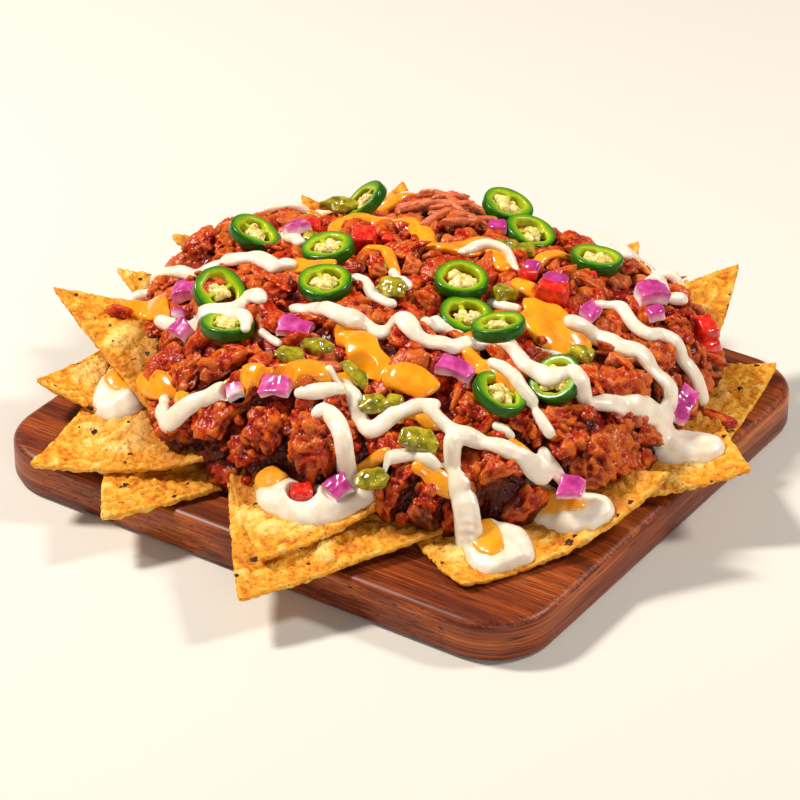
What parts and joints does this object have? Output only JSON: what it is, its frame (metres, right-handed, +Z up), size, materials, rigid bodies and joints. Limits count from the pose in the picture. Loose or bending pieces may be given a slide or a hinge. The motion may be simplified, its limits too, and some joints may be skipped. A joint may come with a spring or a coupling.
{
  "type": "loaded nachos on a wooden board",
  "caption": "Nachos heaped on a wooden serving board: corn chips topped with pulled meat, cream, cheese sauce, jalapeno, red onion, tomato and pickles.",
  "frame": {"origin": "middle of the board's underside, on the surface it stands on", "axes": "+Z up; +X along the board's long side, which is the wood's grain; +Y towards the board's back long side"},
  "size_m": [0.3299, 0.3205, 0.0904],
  "materials": {
    "board_wood": "oiled, satin",
    "corn_chip": "fried corn, matt with fine blisters and dark specks",
    "pulled_meat": "pulled meat in a glossy barbecue glaze",
    "jalapeno": "fresh, waxy skin and moist flesh",
    "red_onion": "fresh, moist",
    "tomato": "fresh, moist",
    "pickle": "pickled, wet and slightly see-through",
    "sour_cream": "thick cream sauce, satin",
    "cheese_sauce": "melted cheese sauce, glossy"
  },
  "bodies": {
    "root": {"board": "board_wood", "chip_back": "corn_chip", "chip_back_corner": "corn_chip", "chip_back_left": "corn_chip", "chip_back_middle": "corn_chip", "chip_back_right": "corn_chip", "chip_back_right_low": "corn_chip", "chip_front": "corn_chip", "chip_front_left": "corn_chip", "chip_front_left_under": "corn_chip", "chip_front_right": "corn_chip", "chip_front_under": "corn_chip", "chip_left_back": "corn_chip", "chip_left_lower": "corn_chip", "chip_left_middle": "corn_chip", "chip_left_upper": "corn_chip", "chip_right": "corn_chip", "chip_right_under": "corn_chip", "heap": "pulled_meat", "jalapeno_1": "jalapeno", "jalapeno_10": "jalapeno", "jalapeno_11": "jalapeno", "jalapeno_12": "jalapeno", "jalapeno_13": "jalapeno", "jalapeno_14": "jalapeno", "jalapeno_2": "jalapeno", "jalapeno_3": "jalapeno", "jalapeno_4": "jalapeno", "jalapeno_5": "jalapeno", "jalapeno_6": "jalapeno", "jalapeno_7": "jalapeno", "jalapeno_8": "jalapeno", "jalapeno_9": "jalapeno", "onion_1": "red_onion", "onion_10": "red_onion", "onion_11": "red_onion", "onion_12": "red_onion", "onion_2": "red_onion", "onion_3": "red_onion", "onion_4": "red_onion", "onion_5": "red_onion", "onion_6": "red_onion", "onion_7": "red_onion", "onion_8": "red_onion", "onion_9": "red_onion", "pickle_1": "pickle", "pickle_10": "pickle", "pickle_2": "pickle", "pickle_3": "pickle", "pickle_4": "pickle", "pickle_5": "pickle", "pickle_6": "pickle", "pickle_7": "pickle", "pickle_8": "pickle", "pickle_9": "pickle", "tomato_1": "tomato", "tomato_2": "tomato", "tomato_3": "tomato", "tomato_4": "tomato"}
  },
  "joints": []
}
